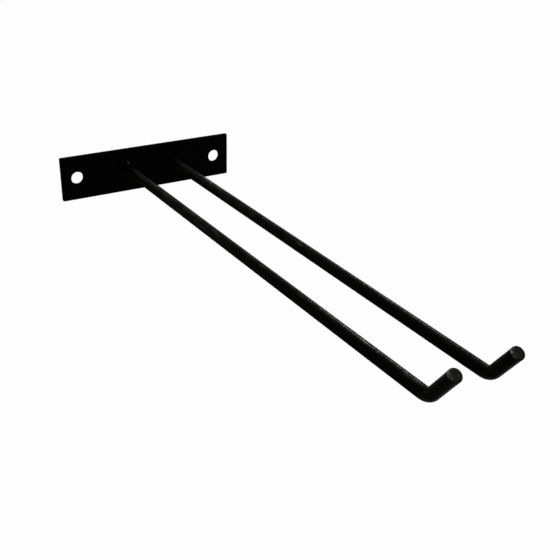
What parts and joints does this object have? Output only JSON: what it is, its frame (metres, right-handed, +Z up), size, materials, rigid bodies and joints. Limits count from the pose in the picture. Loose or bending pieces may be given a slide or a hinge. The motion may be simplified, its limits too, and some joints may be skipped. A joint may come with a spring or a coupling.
{
  "type": "wall mop holder rack",
  "caption": "Flat steel wall plate with parallel round-bar arms welded to it and turned up at their ends, for hanging mops, brooms and dustpans.",
  "frame": {"origin": "middle of the plate's back face, where it lies on the wall", "axes": "+X along the wall, to the right as the rack is faced; +Y into the wall, so the arms run along -Y; +Z up"},
  "size_m": [0.124, 0.3344, 0.0369],
  "materials": {
    "black_coat": "black powder coat on steel, satin"
  },
  "bodies": {
    "root": {"back_plate": "black_coat", "left_arm": "black_coat", "right_arm": "black_coat", "left_weld": "black_coat", "right_weld": "black_coat"}
  },
  "joints": []
}
